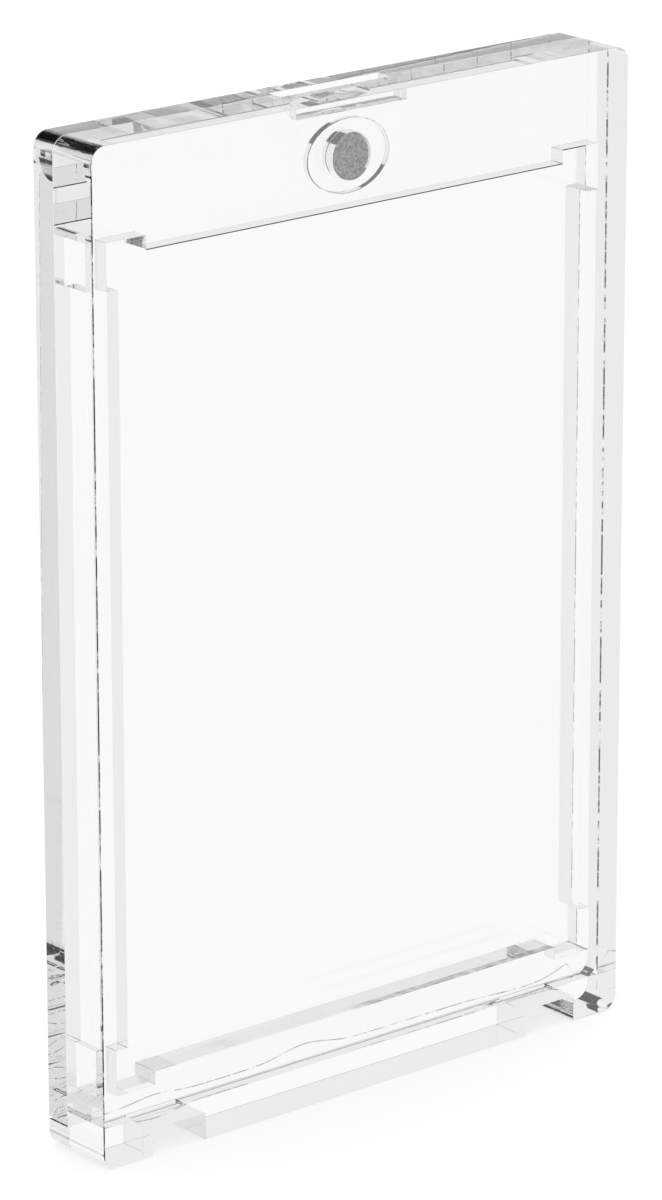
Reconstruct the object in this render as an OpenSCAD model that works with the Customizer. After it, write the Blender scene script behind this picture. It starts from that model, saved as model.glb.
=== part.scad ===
// Magnetic display case for one thick trading card. Two clear moulded halves meet on
// a flat seam. The rear half stands over a ledge along the front half's bottom edge
// and tilts back off it. At the top an oval boss on the front half drops into a recess
// in the rear half, and a disc magnet in each holds the case shut.
// Frame: +X to the right, +Y to the back, +Z up. The origin is the middle of the
// closed case's footprint, on the surface that it stands on.

/* [Card space] */
// Width of the card space
card_w = 64; // [50:0.1:120]
// Height of the card space
card_l = 89.7; // [60:0.1:160]
// Depth of the card space, a little more than the card's thickness
card_t = 3.5; // [0.8:0.1:8]
// How far each corner relief reaches outside the card space
relief_out = 1.5; // [0.5:0.1:2.5]
// How far each corner relief runs in along the card's edges
relief_in = 3.65; // [1:0.05:10]

/* [Case] */
// Width of the rim on each side of the card space
side_rim = 4.4; // [3.5:0.1:10]
// Height of the rim below the card space
bottom_rim = 8.8; // [7.5:0.1:16]
// Height of the rim above the card space
top_rim = 12; // [11.4:0.1:20]
// Thickness of the front window
window_t = 2.8; // [2:0.1:5]
// Thickness of the rear half
rear_t = 3.2; // [2.8:0.1:6]
// Gap between the two halves at the seam
seam_gap = 0.05; // [0.02:0.01:0.15]
// Radius of the four outer corners, seen from the front
corner_r = 1.75; // [0.5:0.05:3]

/* [Bottom edge] */
// Height of the ledge under the rear half
ledge_h = 3.05; // [2:0.05:4.5]
// Gap between the ledge and the rear half
ledge_gap = 0.05; // [0.03:0.01:0.7]
// Radius of the rear half's two lower corners, seen from the front
rear_corner_r = 0.9; // [0.2:0.05:2]
// Radius of the rear half's lower back edge, on which it tilts
tilt_r = 0.2; // [0.1:0.05:0.55]
// Width of the two outer feet
foot_w = 6.4; // [4:0.1:12]
// Width of the slot between each foot and the middle tongue
slot_w = 7.2; // [3:0.1:12]
// Height of the two slots
slot_h = 3.05; // [1.5:0.05:4.5]
// How far the rear half's two tabs reach below its bottom edge, into the slots
tab_h = 0.2; // [0.1:0.05:0.4]
// Gap between each tab and the sides of its slot
tab_gap = 0.15; // [0.1:0.05:0.5]
// How far the tabs are set back behind the seam
tab_setback = 0.15; // [0.15:0.05:0.5]

/* [Thumb notch] */
// Width of the thumb notch in the top edge
thumb_w = 15; // [8:0.1:30]
// Depth of the thumb notch below the top edge
thumb_h = 2.05; // [1:0.05:2.7]
// How far the thumb notch reaches into each half
thumb_t = 1.05; // [0.5:0.05:1.8]

/* [Boss and magnets] */
// Width of the oval boss
boss_w = 11; // [8:0.1:16]
// Height of the oval boss
boss_h = 7.9; // [7:0.1:8.2]
// How far the boss stands out of the front half
boss_t = 1.1; // [0.5:0.05:1.2]
// Gap between the boss and its recess
boss_gap = 0.1; // [0.05:0.01:0.2]
// Distance from the top edge down to the middle of the boss
boss_drop = 7; // [6.9:0.05:7.2]
// Diameter of the magnets
magnet_d = 5; // [3:0.1:6]
// Thickness of the front magnet
front_magnet_t = 1.7; // [1:0.1:3]
// How far the front magnet lies below the boss's end
magnet_sink = 0.3; // [0.05:0.05:0.6]
// Thickness of the rear magnet
rear_magnet_t = 0.9; // [0.5:0.1:1.2]
// Width of the bevel around each face of a magnet
magnet_bevel = 0.1; // [0.05:0.01:0.2]
// Glue gap around a magnet in its pocket
glue_gap = 0.1; // [0.03:0.01:0.2]

/* [Hidden] */

clear = [0.93, 0.95, 0.96, 0.35];
nickel = [0.55, 0.55, 0.56];

// Front view sizes
case_w = card_w + 2 * side_rim;
case_h = bottom_rim + card_l + top_rim;
slot_x = case_w / 2 - foot_w - slot_w;
boss_z = case_h - boss_drop;

// Depths, from the face of the case to its back
case_t = window_t + card_t + rear_t;
face_y = -case_t / 2;
seam_y = face_y + window_t + card_t;
rear_y = seam_y + seam_gap;
boss_y = seam_y + boss_t;
front_magnet_y = boss_y - magnet_sink;
recess_y = boss_y + boss_gap;
rear_magnet_y = recess_y + rear_magnet_t;
back_y = case_t / 2;

rear_z = ledge_h + ledge_gap;
hinge_y = back_y - tilt_r;
over = 1;
arc_fn = 64;

// Extrudes a front-view outline from depth y0 back to depth y1.
module across(y0, y1) {
    translate([0, y1, 0]) rotate([90, 0, 0]) linear_extrude(y1 - y0) children();
}

// Outline as wide as the case, from z0 up to its top, with its corners as true arcs.
module case_outline(z0 = 0, low_r = corner_r) {
    for (end = [[z0, 1, low_r], [case_h, -1, corner_r]])
        translate([0, end[0]]) scale([1, end[1]]) {
            translate([-case_w / 2, end[2]]) square([case_w, (case_h - z0) / 2 - end[2] + over]);
            translate([-case_w / 2 + end[2], 0]) square([case_w - 2 * end[2], end[2] + over]);
            for (side = [-1, 1])
                translate([side * (case_w / 2 - end[2]), end[2]]) circle(r = end[2], $fn = arc_fn);
        }
}

// Outline of the card space: the card's own rectangle and a square relief at each
// corner, which keeps the card's corners clear of the walls.
module card_outline() {
    relief = relief_out + relief_in;
    translate([-card_w / 2, bottom_rim]) square([card_w, card_l]);
    for (x = [-card_w / 2 - relief_out, card_w / 2 - relief_in])
        for (z = [bottom_rim - relief_out, bottom_rim + card_l - relief_in])
            translate([x, z]) square(relief);
}

// Ellipse of the boss, grown by a gap all round.
module boss_outline(gap = 0) {
    a = boss_w / 2 + gap;
    b = boss_h / 2 + gap;
    translate([0, boss_z])
        polygon([for (i = [0 : arc_fn - 1]) [a * cos(360 * i / arc_fn), b * sin(360 * i / arc_fn)]]);
}

// Round outline on the magnets' axis.
module magnet_outline(gap = 0) {
    translate([0, boss_z]) circle(d = magnet_d + 2 * gap, $fn = arc_fn);
}

// Thumb notch over both halves at the seam.
module thumb_notch() {
    translate([-thumb_w / 2, seam_y - thumb_t, case_h - thumb_h])
        cube([thumb_w, 2 * thumb_t, thumb_h + over]);
}

// Front half: window, card space, boss, and the ledge with its feet and tongue.
module front_cover() {
    color(clear)
    difference() {
        union() {
            across(face_y, seam_y) case_outline();
            across(seam_y - over, boss_y) boss_outline();
            across(seam_y - over, back_y)
                difference() {
                    case_outline();
                    translate([-case_w / 2 - over, ledge_h]) square([case_w + 2 * over, case_h]);
                }
        }
        across(seam_y - card_t, seam_y + over) card_outline();
        across(front_magnet_y - front_magnet_t - glue_gap, boss_y + over) magnet_outline(glue_gap);
        for (x = [-slot_x - slot_w, slot_x])
            translate([x, face_y - over, -over]) cube([slot_w, case_t + 2 * over, slot_h + over]);
        thumb_notch();
    }
}

// Rear half: a flat panel with the recess for the boss, a round lower back edge, and two
// shallow tabs that keep it centred in the slots.
module rear_cover() {
    color(clear)
    difference() {
        union() {
            across(rear_y, back_y) case_outline(rear_z, rear_corner_r);
            for (x = [-slot_x - slot_w, slot_x])
                across(rear_y + tab_setback, hinge_y)
                    translate([x + tab_gap, rear_z - tab_h]) square([slot_w - 2 * tab_gap, tab_h + over]);
        }
        across(rear_y - over, recess_y) boss_outline(boss_gap);
        across(rear_y - over, rear_magnet_y + glue_gap) magnet_outline(glue_gap);
        thumb_notch();
        difference() {
            translate([-case_w / 2 - over, hinge_y, rear_z - over])
                cube([case_w + 2 * over, tilt_r + over, tilt_r + over]);
            translate([0, hinge_y, rear_z + tilt_r]) rotate([0, 90, 0])
                cylinder(r = tilt_r, h = case_w + 4 * over, center = true, $fn = arc_fn);
        }
    }
}

// Disc magnet with bevelled edges, its back face at depth y.
module magnet(y, thickness) {
    color(nickel)
    translate([0, y, boss_z]) rotate([90, 0, 0]) {
        cylinder(d1 = magnet_d - 2 * magnet_bevel, d2 = magnet_d, h = magnet_bevel, $fn = arc_fn);
        translate([0, 0, magnet_bevel])
            cylinder(d = magnet_d, h = thickness - 2 * magnet_bevel, $fn = arc_fn);
        translate([0, 0, thickness - magnet_bevel])
            cylinder(d1 = magnet_d, d2 = magnet_d - 2 * magnet_bevel, h = magnet_bevel, $fn = arc_fn);
    }
}

// Magnet in the boss, a little below the boss's end.
module front_magnet() {
    magnet(front_magnet_y, front_magnet_t);
}

// Magnet in the rear half, flush with the floor of the recess.
module rear_magnet() {
    magnet(rear_magnet_y, rear_magnet_t);
}

front_cover();
rear_cover();
front_magnet();
rear_magnet();
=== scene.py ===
import math

import bmesh
import bpy
import numpy as np
from mathutils import Matrix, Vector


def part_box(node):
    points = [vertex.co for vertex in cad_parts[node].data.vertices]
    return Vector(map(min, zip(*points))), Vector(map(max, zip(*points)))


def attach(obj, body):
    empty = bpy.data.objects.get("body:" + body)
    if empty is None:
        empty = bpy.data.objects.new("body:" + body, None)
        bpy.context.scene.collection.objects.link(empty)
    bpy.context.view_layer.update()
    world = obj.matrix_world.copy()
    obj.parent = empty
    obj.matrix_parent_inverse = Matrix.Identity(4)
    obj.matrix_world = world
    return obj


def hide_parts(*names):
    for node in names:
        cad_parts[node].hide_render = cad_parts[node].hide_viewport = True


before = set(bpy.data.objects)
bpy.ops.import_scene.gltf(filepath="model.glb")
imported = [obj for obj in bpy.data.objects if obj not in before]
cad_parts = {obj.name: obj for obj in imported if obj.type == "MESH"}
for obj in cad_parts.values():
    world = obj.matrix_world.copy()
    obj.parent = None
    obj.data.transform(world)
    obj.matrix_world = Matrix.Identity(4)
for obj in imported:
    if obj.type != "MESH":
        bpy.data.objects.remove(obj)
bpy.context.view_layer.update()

scene = bpy.context.scene

# ---------------------------------------------------------------- Camera
# A long lens, to the front left of the case and a little above it. Its place and
# turn were worked out from the case's own edges in the photograph.
CAMERA_PLACE = (-0.398706, -0.475032, 0.253682)
CAMERA_AZIMUTH = math.radians(39.9188)
CAMERA_DROP = math.radians(17.8044)
CAMERA_ROLL = math.radians(0.0727)
FOCAL_LENGTH = 183.08  # this and the sensor in mm, as Blender takes them
SENSOR = 36.0
NEAREST = 0.01  # that the camera sees
BOUNCES = 32  # of light within the clear halves

look = np.array([
    math.sin(CAMERA_AZIMUTH) * math.cos(CAMERA_DROP),
    math.cos(CAMERA_AZIMUTH) * math.cos(CAMERA_DROP),
    -math.sin(CAMERA_DROP),
])
level = np.array([math.cos(CAMERA_AZIMUTH), -math.sin(CAMERA_AZIMUTH), 0.0])
right = math.cos(CAMERA_ROLL) * level + math.sin(CAMERA_ROLL) * np.cross(look, level)
turn = np.column_stack([right, np.cross(right, look), -look])

camera_data = bpy.data.cameras.new("camera")
camera_data.lens = FOCAL_LENGTH
camera_data.sensor_width = SENSOR
camera_data.clip_start = NEAREST
camera = bpy.data.objects.new("camera", camera_data)
camera.matrix_world = Matrix.Translation(CAMERA_PLACE) @ Matrix(turn.tolist()).to_4x4()
scene.collection.objects.link(camera)
scene.camera = camera

scene.view_settings.view_transform = "Standard"
scene.cycles.max_bounces = BOUNCES
scene.cycles.transmission_bounces = BOUNCES
scene.cycles.glossy_bounces = BOUNCES


# ---------------------------------------------------------------- Studio
# A white table and a white sweep, brightest behind the case, with a dark gap above
# the sweep at the back. Soft boxes light it from the left, the right and above.
class Wire:
    """A shader socket that takes part in sums: + - and * add Math nodes."""

    def __init__(self, nodes, socket):
        self.nodes, self.socket = nodes, socket

    def math(self, operation, first, second):
        return self.nodes.make("ShaderNodeMath", {"operation": operation}, {0: first, 1: second})

    def __add__(self, other):
        return self.math("ADD", self, other)

    def __sub__(self, other):
        return self.math("SUBTRACT", self, other)

    def __rsub__(self, other):
        return self.math("SUBTRACT", other, self)

    def __mul__(self, other):
        return self.math("MULTIPLY", self, other)

    __radd__, __rmul__ = __add__, __mul__

    def either(self, other):
        """The larger of the two."""
        return self.math("MAXIMUM", self, other)

    def rise(self, start, end):
        """0 below start and 1 above end, smooth between them."""
        return self.nodes.make(
            "ShaderNodeMapRange",
            {"interpolation_type": "SMOOTHSTEP"},
            {"Value": self, "From Min": start, "From Max": end},
        )


class Nodes:
    """The node tree of one material or of the world, emptied and built again."""

    def __init__(self, owner):
        owner.use_nodes = True
        self.tree = owner.node_tree
        self.tree.nodes.clear()

    def make(self, kind, settings=None, values=None, output=0):
        """Adds a node: its settings first, then the values or links of its sockets."""
        node = self.tree.nodes.new(kind)
        for name, value in (settings or {}).items():
            setattr(node, name, value)
        for name, value in (values or {}).items():
            if isinstance(value, Wire):
                self.tree.links.new(value.socket, node.inputs[name])
            else:
                node.inputs[name].default_value = value
        return Wire(self, node.outputs[output]) if node.outputs else node

    def seen_rays(self):
        """1 for a ray straight from the eye, and 1 for one that the eye follows, be it
        straight or by way of gloss or clear plastic."""
        eye, gloss, through = (
            self.make("ShaderNodeLightPath", output=name)
            for name in ("Is Camera Ray", "Is Glossy Ray", "Is Transmission Ray")
        )
        return eye, eye.either(gloss).either(through)

    def parts(self, output):
        """The x, y and z of one of Texture Coordinate's outputs."""
        vector = self.make("ShaderNodeTexCoord", output=output)
        return [
            self.make("ShaderNodeSeparateXYZ", values={0: vector}, output=axis) for axis in "XYZ"
        ]


TABLE_SIDE = 3.0
TABLE_GAP = 0.00005  # keeps the table's face apart from the clear base that stands on it
TABLE_WHITE = (0.85, 0.85, 0.85, 1)
TABLE_GREY = (0.3, 0.3, 0.3, 1)  # with the shine below, for the rays that the eye follows
TABLE_SHINE = 0.75
ROOM_TONE = 0.86  # of the room, against 1 for the sweep behind the case
GAP_TONE = 0.07  # of the dark gap above the sweep
ROOM_LIGHT = 0.7  # that the room casts on dull surfaces
# Borders of the sweep and of the gap, from none to full, as parts of a ray's direction.
SWEEP_SIDE = (0.3, 0.7)  # away from the camera
SWEEP_TOP = (-0.14, -0.04)  # up
GAP_LOW = (0.50, 0.56)  # up
GAP_HIGH = (0.86, 0.92)  # up
GAP_SIDE = (0.40, 0.50)  # to the back

away = (math.sin(CAMERA_AZIMUTH), math.cos(CAMERA_AZIMUTH))

table_mesh = bpy.data.meshes.new("table")
corners = np.array([(-1, -1), (1, -1), (1, 1), (-1, 1)]) * TABLE_SIDE / 2
table_mesh.from_pydata(
    np.column_stack([corners, np.full(4, -TABLE_GAP)]).tolist(), [], [(0, 1, 2, 3)]
)
table = bpy.data.objects.new("table", table_mesh)
scene.collection.objects.link(table)
table.visible_transmission = table.visible_glossy = False  # these see the sweep all round

table_white = bpy.data.materials.new("table_white")
nodes = Nodes(table_white)
_, seen = nodes.seen_rays()
lit = nodes.make("ShaderNodeBsdfDiffuse", values={"Color": TABLE_WHITE})
partly_lit = nodes.make("ShaderNodeBsdfDiffuse", values={"Color": TABLE_GREY})
shine = nodes.make("ShaderNodeEmission", values={"Color": (1, 1, 1, 1), "Strength": TABLE_SHINE})
backlit = nodes.make("ShaderNodeAddShader", values={0: partly_lit, 1: shine})
surface = nodes.make("ShaderNodeMixShader", values={0: seen, 1: lit, 2: backlit})
nodes.make("ShaderNodeOutputMaterial", values={"Surface": surface})
table_mesh.materials.append(table_white)

room = bpy.data.worlds.new("room")
scene.world = room
nodes = Nodes(room)
eye, seen = nodes.seen_rays()
x, y, z = nodes.parts("Generated")
behind = (x * away[0] + y * away[1]).rise(*SWEEP_SIDE) * (1 - z.rise(*SWEEP_TOP))
gap = z.rise(*GAP_LOW) * (1 - z.rise(*GAP_HIGH)) * y.rise(*GAP_SIDE)
sweep = (behind * (1 - ROOM_TONE) + ROOM_TONE) * (1 - gap * (1 - GAP_TONE))
strength = eye.either(sweep) * seen + (1 - seen) * ROOM_LIGHT
ambient = nodes.make("ShaderNodeBackground", values={"Color": (1, 1, 1, 1), "Strength": strength})
nodes.make("ShaderNodeOutputWorld", values={"Surface": ambient})

for name, place, size, power in (
    ("softbox_left", (-0.9, -0.5, 0.9), 0.8, 4.0),
    ("softbox_right", (0.9, 0.1, 0.7), 0.8, 2.0),
    ("softbox_above", (0.0, 0.2, 1.3), 1.0, 4.0),
):
    box_data = bpy.data.lights.new(name, "AREA")
    box_data.size = size
    box_data.energy = power
    box = bpy.data.objects.new(name, box_data)
    aim = np.array(place) / np.linalg.norm(place)
    side = np.cross((0.0, 1.0, 0.0), aim)
    side /= np.linalg.norm(side)
    box.matrix_world = (
        Matrix.Translation(place)
        @ Matrix(np.column_stack([side, np.cross(aim, side), aim]).tolist()).to_4x4()
    )
    box.visible_camera = box.visible_transmission = box.visible_glossy = False
    scene.collection.objects.link(box)


# ---------------------------------------------------------------- Front half
# One thick clear acrylic moulding: window, card space, boss and ledge. The mould
# leaves every edge very slightly round, and polishing leaves the faces not quite flat.
WELD = 1e-6
FLAT = math.radians(0.5)  # faces that turn less than this are one face
EDGE_ROUND = 0.00004
EDGE_STEPS = 2
SHARP = math.radians(50)  # edges that turn more than this are rounded
ACRYLIC_IOR = 1.57
ACRYLIC_SHADE = 2.1  # light lost to the plastic per metre of its path
TINT = ((0.99, 0.99, 0.99, 1), (1, 1, 1, 1))  # darkest and clearest
WAVE_SCALE = 45.0  # of the tint and the polish
WAVE_HEIGHT = 0.000004
SPECK_SCALE = 700.0
# Where the noise of the specks starts to show as a dark mark, and where it is fully dark.
EDGE_SPECKS = (0.35, 0.55)  # on the tabs' dusty edges and on the scratch's painted shade line
SEAM_SPECKS = (0.42, 0.55)  # along the seam at the right
SEAM_WEAR = 0.8
CORNER_SHADE_SPECKS = (0.3, 0.55)  # along the front left edge, where they are painted shade
WALL_SPECKS = (0.3, 0.7)  # on the card space's bottom wall
WALL_GREY = 0.15  # darkening between the specks on it
WALL_SPECK_DARK = 0.4  # darkening that the specks add
DUST_AND_SHADE_MAP = "dust_and_shade"  # UV map: dusty tab edges, and the scratch's painted shade
# Dark colour for the dust, the seam's wear, the floor strip and the painted shade lines.
DUST_AND_SHADE_COLOUR = (0.02, 0.02, 0.02, 1)
DARK_MARK_W = 0.0001  # reach of the dark marks along a whole edge, painted shade lines among them
SEAM_Y = 0.00155  # back of the front half's rim
SPACE_Y = -0.00195  # front of the card space, which is the back of the window
SPACE_TOP = 0.0985
RELIEF_TOP = 0.1
WALL_END = 0.02835  # where the top wall ends and a relief begins, from the middle
RELIEF_SHADE_W = 0.0016  # half width of the painted shade line on the right relief's top
SPACE_LOW = 0.0088  # height of the card space's bottom wall, with a darker strip along its front
STRIP_START = 0.002  # where that strip has its full strength, from the middle
STRIP_BACK = 0.001  # how far back it reaches


def welded(node):
    """A CAD half as one skin: loose triangles merged, then flat faces joined."""
    skin = bmesh.new()
    skin.from_mesh(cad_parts[node].data)
    skin.loops.layers.uv.new(DUST_AND_SHADE_MAP)
    bmesh.ops.remove_doubles(skin, verts=skin.verts, dist=WELD)
    bmesh.ops.dissolve_limit(skin, angle_limit=FLAT, verts=skin.verts, edges=skin.edges)
    return skin


def moulded(name, skin, node, body, material):
    """The skin as a piece with its edges rounded, in the place of the CAD half."""
    mesh = bpy.data.meshes.new(name)
    skin.to_mesh(mesh)
    skin.free()
    mesh.polygons.foreach_set("use_smooth", np.ones(len(mesh.polygons), bool))
    mesh.materials.append(material)
    piece = bpy.data.objects.new(name, mesh)
    scene.collection.objects.link(piece)
    rounding = piece.modifiers.new("edge_rounding", "BEVEL")
    rounding.width = EDGE_ROUND
    rounding.segments = EDGE_STEPS
    rounding.limit_method = "ANGLE"
    rounding.angle_limit = SHARP
    piece.modifiers.new("flat_faces", "WEIGHTED_NORMAL").mode = "FACE_AREA_WITH_ANGLE"
    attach(piece, body)
    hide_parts(node)


def clear_acrylic(low, high):
    """Clear acrylic, faintly uneven in tint and in the flatness of its polish, with one dark
    shader
    mixed in: painted shade lines along the card space's top edge, the front left edge and the
    rear half's scratch, dust on the tabs' edges, wear along the seam at the right, and a darker
    strip on the card space's floor. low and high are the corners of the front half's box."""
    material = bpy.data.materials.new("clear_acrylic")
    nodes = Nodes(material)
    place = nodes.make("ShaderNodeTexCoord", output="Object")
    flow = nodes.make(
        "ShaderNodeTexNoise", values={"Vector": place, "Scale": WAVE_SCALE, "Detail": 1.0}
    )
    tint = nodes.make(
        "ShaderNodeMix",
        {"data_type": "RGBA"},
        {"Factor": flow, "A": TINT[0], "B": TINT[1]},
        output="Result",
    )
    polish = nodes.make(
        "ShaderNodeBump", values={"Strength": 1.0, "Distance": WAVE_HEIGHT, "Height": flow}
    )
    specks = nodes.make(
        "ShaderNodeTexNoise",
        values={"Vector": place, "Scale": SPECK_SCALE, "Detail": 3.0, "Roughness": 0.7},
    )
    # 1 on the tabs' dusty edges, and on the rear half's scratch line as painted shade.
    edge_dust_and_shade = nodes.make(
        "ShaderNodeSeparateXYZ",
        values={0: nodes.make("ShaderNodeUVMap", {"uv_map": DUST_AND_SHADE_MAP})},
        output="X",
    )
    plastic = nodes.make("ShaderNodeBsdfPrincipled", values={
        "Base Color": tint,
        "Roughness": 0.0,
        "IOR": ACRYLIC_IOR,
        "Transmission Weight": 1.0,
        "Normal": polish,
    })
    shade = nodes.make(
        "ShaderNodeVolumeAbsorption", values={"Color": (0, 0, 0, 1), "Density": ACRYLIC_SHADE}
    )
    x, y, z = nodes.parts("Object")

    def within(wire, middle, reach):
        """1 where the wire is at most reach away from the middle."""
        return nodes.make(
            "ShaderNodeMath", {"operation": "COMPARE"}, {0: wire, 1: middle, 2: reach}
        )

    # Painted shade: a speckled dark line on the front left edge, standing for the dark line that
    # refraction gives there.
    front_left_shade = within(x, low.x, DARK_MARK_W) * within(y, low.y, DARK_MARK_W)
    seam_right = within(x, high.x, DARK_MARK_W) * within(y, SEAM_Y, DARK_MARK_W / 2)
    # Painted shade: a dark line along the card space's top edge at the window, where the fillets
    # reflect the dark surroundings.
    wall_top_shade = within(z, SPACE_TOP, DARK_MARK_W) * within(x, 0.0, WALL_END)
    relief_top_shade = within(z, RELIEF_TOP, DARK_MARK_W) * within(x, WALL_END + RELIEF_SHADE_W, RELIEF_SHADE_W)
    space_top_shade = within(y, SPACE_Y, DARK_MARK_W) * (wall_top_shade + relief_top_shade)
    # A darker, speckled strip on the card space's floor along the window.
    bottom_wall = within(z, SPACE_LOW, DARK_MARK_W) * within(y, SPACE_Y, STRIP_BACK)
    along_wall = x.rise(-STRIP_START, STRIP_START) * (1 - x.rise(WALL_END, WALL_END + DARK_MARK_W))
    # All dark marks: dust, the seam's wear, the floor strip, and painted shade lines.
    wear_and_shade = (
        edge_dust_and_shade * specks.rise(*EDGE_SPECKS)
        + seam_right * specks.rise(*SEAM_SPECKS) * SEAM_WEAR
        + bottom_wall * along_wall * (specks.rise(*WALL_SPECKS) * WALL_SPECK_DARK + WALL_GREY)
        + front_left_shade * specks.rise(*CORNER_SHADE_SPECKS)
        + space_top_shade
    )
    dust_and_shade = nodes.make("ShaderNodeBsdfDiffuse", values={"Color": DUST_AND_SHADE_COLOUR})
    surface = nodes.make("ShaderNodeMixShader", values={0: wear_and_shade, 1: plastic, 2: dust_and_shade})
    nodes.make("ShaderNodeOutputMaterial", values={"Surface": surface, "Volume": shade})
    return material


acrylic = clear_acrylic(*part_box("front_cover"))
moulded("front_half", welded("front_cover"), "front_cover", "front", acrylic)


# ---------------------------------------------------------------- Rear half
# A flat clear acrylic panel with two tabs. Its lower back edge, on which it tilts, is
# polished by hand after moulding, which leaves a wavy bevel above the rounded edge.
REAR_LOW = 0.0031  # height of the panel's bottom edge, above the tabs' ends
EDGE_R = 0.0002  # of the rounding in the CAD half
EDGE_LINES = 6  # facets of that rounding
STRAIGHT_LINES = 4  # above the quarter circle of the polished edge
EDGE_CUTS = 144
LONG_EDGE = 0.03  # the rounding's edges along X are longer than this
EDGE_END = (0.0337, 0.0347)  # from the middle, where the bevel runs out
CORNER_R = 0.0009  # of the lower corners in the CAD half
CORNER_REACH = 0.032  # from the middle, from where the edge makes room for its corners
CORNER_POLISH = {-1: 0.0005, 1: 0.00165}  # radius of the left and right corner as polished
BEVEL_TOP = 0.0008  # height of the bevel's top line
BEVEL_LOW = 0.0005  # and of its lower line
BEVEL_WAVES = (  # centre, half width and height of each rise of the top line
    (-0.0258, 0.0035, 0.00050),
    (-0.0050, 0.0042, 0.00095),
    (0.0345, 0.0035, 0.00095),
    (0.0270, 0.0060, -0.00040),
)
LOW_SHARE = 0.25  # of these waves in the lower line
BEVEL_FALL = 0.00004  # depth lost from the top line to the lower one
LINE_W = 0.00008  # half width of the scratch along the top line, painted dark as shade
LINE_T = 0.00001  # and its depth
SCRATCH = 1  # the scratch's own place among the edge's lines
DUSTY_R = 0.00012  # rounding of the tabs' dusty edges, which are longer than DUSTY_L
DUSTY_L = 0.002
DUSTY_STEPS = 3


def edge_profile(x):
    """Depth below the back face and height above the bottom edge of the edge's lines at x:
    scratch, bevel, then a quarter circle y = r (1 - cos t), z = r (1 - sin t)."""
    waves = sum(rise * np.exp(-(((x - at) / width) ** 2)) for at, width, rise in BEVEL_WAVES)
    top = BEVEL_TOP + waves
    low = BEVEL_LOW + LOW_SHARE * waves
    t = np.linspace(0, math.pi / 2, EDGE_LINES + 1 - STRAIGHT_LINES)[:, None]
    fall = (EDGE_R - BEVEL_FALL) * (1 - np.cos(t)) + BEVEL_FALL
    depth = np.concatenate([np.array([[0], [LINE_T], [0], [BEVEL_FALL]]), fall]) + 0 * x
    height = np.concatenate([
        [top + LINE_W, top, top - LINE_W, low], EDGE_R * (1 - np.sin(t)) + 0 * x
    ])
    return depth, height


def near(a, b):
    """True where two coordinates are the same, but for rounding errors."""
    return abs(a - b) < 10 * WELD


def dusty(skin, chosen):
    """Rounds the edges for which chosen(first corner, second corner) holds, as dusty ones."""
    edges = [e for e in skin.edges if chosen(*(v.co for v in e.verts))]
    faces = bmesh.ops.bevel(
        skin, geom=edges, offset=DUSTY_R, segments=DUSTY_STEPS, profile=0.5, affect="EDGES"
    )["faces"]
    dust_and_shade = skin.loops.layers.uv[DUST_AND_SHADE_MAP]
    for face in faces:
        for loop in face.loops:
            loop[dust_and_shade].uv.x = 1.0


_, rear_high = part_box("rear_cover")
skin = welded("rear_cover")


def rounded(y, z):
    """True on the facets of the CAD half's rounding."""
    return (
        (y > rear_high.y - EDGE_R - WELD)
        & (z < REAR_LOW + EDGE_R + WELD)
        & (z > REAR_LOW - WELD)
    )


# The rounding's edges along X are cut up, so that they can follow the bevel's waves.
long_edges = [
    e for e in skin.edges
    if e.calc_length() > LONG_EDGE and all(rounded(v.co.y, v.co.z) for v in e.verts)
    and near(e.verts[0].co.z, e.verts[1].co.z)
]
bmesh.ops.subdivide_edges(skin, edges=long_edges, cuts=EDGE_CUTS, use_grid_fill=True)
panel_mesh = bpy.data.meshes.new("rear_half_shape")
skin.to_mesh(panel_mesh)
place = np.empty(len(panel_mesh.vertices) * 3, np.float32)
panel_mesh.vertices.foreach_get("co", place)
place = place.reshape(-1, 3)
x, y, z = place.T.astype(float)
# Each vertex of the rounding goes to the place that the profile gives its line.
turned = np.arctan2(REAR_LOW + EDGE_R - z, y - rear_high.y + EDGE_R) / (math.pi / 2)
line = np.clip(np.rint(turned * EDGE_LINES).astype(int), 0, EDGE_LINES)
depth, height = (values[line, np.arange(len(x))] for values in edge_profile(x))
share = np.clip((EDGE_END[1] - abs(x)) / (EDGE_END[1] - EDGE_END[0]), 0, 1) * rounded(y, z)
place[:, 1] += share * (rear_high.y - depth - y)
place[:, 2] += share * (REAR_LOW + height - z)
# The lower corners take their polished radius, and the edge beside them makes room.
upward = z - REAR_LOW
for side, radius in CORNER_POLISH.items():
    inward = rear_high.x - side * x
    corner = (inward < CORNER_R + WELD) & (-WELD < upward) & (upward < CORNER_R + WELD)
    beside = rounded(y, z) & (side * x > CORNER_REACH) & ~corner
    place[corner, 0] = side * (rear_high.x - inward[corner] * radius / CORNER_R)
    place[corner, 2] = REAR_LOW + upward[corner] * radius / CORNER_R
    pull = (side * x[beside] - CORNER_REACH) / (rear_high.x - CORNER_R - CORNER_REACH)
    place[beside, 0] += side * (CORNER_R - radius) * pull
panel_mesh.vertices.foreach_set("co", place.ravel())
corner_vertex = np.empty(len(panel_mesh.loops), np.int32)
panel_mesh.loops.foreach_get("vertex_index", corner_vertex)
# The scratch line is marked to be painted dark: painted shade for the refracted line along the
# bevel.
dust_and_shade = np.zeros((len(corner_vertex), 2), np.float32)
dust_and_shade[:, 0] = ((line == SCRATCH) & (share > 0.5))[corner_vertex]
panel_mesh.uv_layers[DUST_AND_SHADE_MAP].data.foreach_set("uv", dust_and_shade.ravel())
skin.clear()
skin.from_mesh(panel_mesh)
dusty(skin, lambda a, b: near(a.x, b.x) and near(a.z, REAR_LOW) and near(b.z, a.z)
      and abs(a.y - b.y) > DUSTY_L and abs(a.x) < CORNER_REACH)
moulded("rear_half", skin, "rear_cover", "rear", acrylic)


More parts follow.
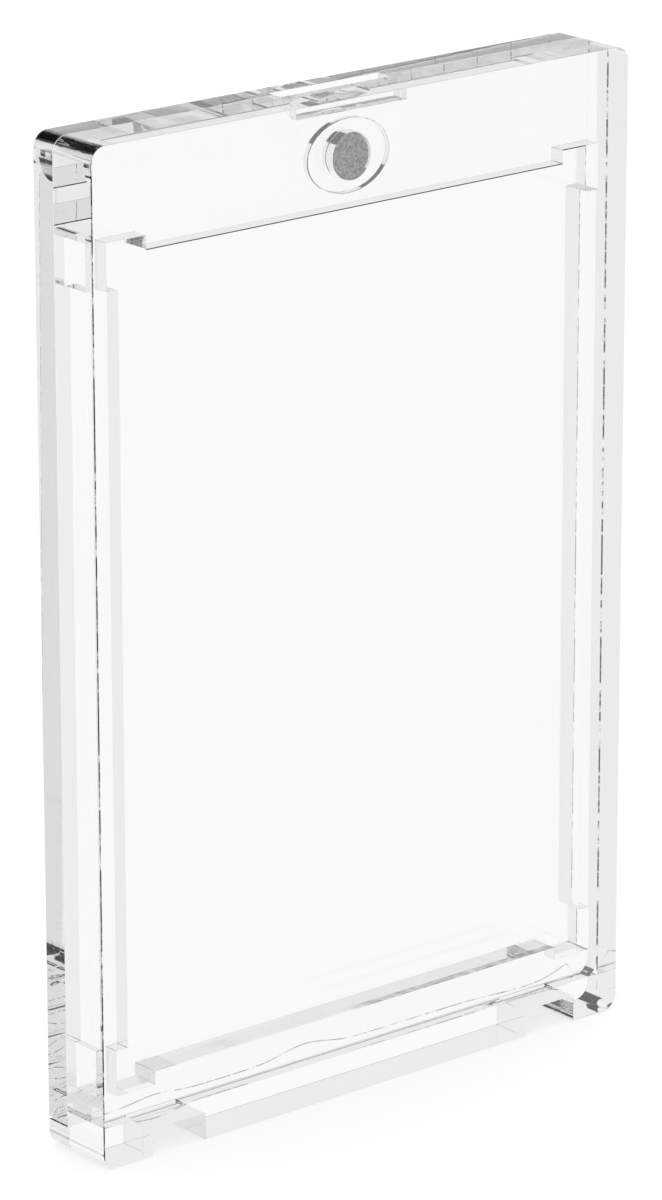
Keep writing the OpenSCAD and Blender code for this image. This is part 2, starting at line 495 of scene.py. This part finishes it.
# ---------------------------------------------------------------- Magnets
# Two pressed disc magnets with a dull nickel plating. One is glued in the boss, the
# other in the floor of the recess behind it, and their edges are tumbled round.
MAGNET_EDGE = 0.00025  # radius of the tumbled edges
MAGNET_STEPS = 6
MAGNET_FACETS = 96
GRAIN_SCALE = 3500.0
GRAIN_DEPTH = 0.00002
GRAIN_TONES = (0.3, 0.7)  # of the grain's noise, from the darkest nickel to the lightest
NICKEL = ((0.28, 0.28, 0.28, 1), (0.72, 0.72, 0.72, 1))
NICKEL_ROUGH = 0.35
GRAIN_ROUGH = 0.25  # that the grain adds


def magnet(name, node, body, plating):
    """A disc on the Y axis: a profile of two quarter arcs, turned about the middle of the CAD
    magnet's box, r = R - e + e sin(t) and y = face + e - e cos(t) at each end."""
    low, high = np.array(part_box(node))
    middle = (low + high) / 2
    t = np.linspace(0, math.pi / 2, MAGNET_STEPS)
    arc_r = (high[0] - low[0]) / 2 - MAGNET_EDGE * (1 - np.sin(t))
    arc_y = MAGNET_EDGE * (1 - np.cos(t))
    ring_r = np.concatenate([arc_r, arc_r[::-1]])
    ring_y = np.concatenate([low[1] + arc_y, high[1] - arc_y[::-1]])
    turn = np.linspace(0, 2 * math.pi, MAGNET_FACETS, endpoint=False)
    rings = np.stack([
        middle[0] + ring_r[:, None] * np.cos(turn),
        np.repeat(ring_y[:, None], MAGNET_FACETS, 1),
        middle[2] + ring_r[:, None] * np.sin(turn),
    ], axis=-1).reshape(-1, 3)
    poles = [(middle[0], low[1], middle[2]), (middle[0], high[1], middle[2])]
    grid = np.arange(len(rings)).reshape(-1, MAGNET_FACETS)
    beside = np.roll(grid, -1, axis=1)
    sides = np.stack([grid[1:], beside[1:], beside[:-1], grid[:-1]], -1).reshape(-1, 4)
    front = np.stack([grid[0], beside[0], np.full(MAGNET_FACETS, len(rings))], -1)
    rear = np.stack([beside[-1], grid[-1], np.full(MAGNET_FACETS, len(rings) + 1)], -1)
    mesh = bpy.data.meshes.new(name)
    mesh.from_pydata(
        rings.tolist() + poles, [], sides.tolist() + front.tolist() + rear.tolist()
    )
    mesh.polygons.foreach_set("use_smooth", np.ones(len(mesh.polygons), bool))
    mesh.materials.append(plating)
    disc = bpy.data.objects.new(name, mesh)
    scene.collection.objects.link(disc)
    disc.modifiers.new("flat_faces", "WEIGHTED_NORMAL")
    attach(disc, body)
    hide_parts(node)


def nickel_plating():
    """Dull nickel over a pressed and sintered core, so that its tone is grainy."""
    material = bpy.data.materials.new("nickel_plating")
    nodes = Nodes(material)
    place = nodes.make("ShaderNodeTexCoord", output="Object")
    grain = nodes.make(
        "ShaderNodeTexNoise",
        values={"Vector": place, "Scale": GRAIN_SCALE, "Detail": 3.0, "Roughness": 0.65},
    )
    metal = nodes.make(
        "ShaderNodeMix",
        {"data_type": "RGBA"},
        {"Factor": grain.rise(*GRAIN_TONES), "A": NICKEL[0], "B": NICKEL[1]},
        output="Result",
    )
    pits = nodes.make(
        "ShaderNodeBump", values={"Strength": 0.5, "Distance": GRAIN_DEPTH, "Height": grain}
    )
    surface = nodes.make("ShaderNodeBsdfPrincipled", values={
        "Base Color": metal,
        "Metallic": 0.8,
        "Roughness": grain * GRAIN_ROUGH + NICKEL_ROUGH,
        "Normal": pits,
    })
    nodes.make("ShaderNodeOutputMaterial", values={"Surface": surface})
    return material


nickel = nickel_plating()
magnet("front_disc", "front_magnet", "front", nickel)
magnet("rear_disc", "rear_magnet", "rear", nickel)
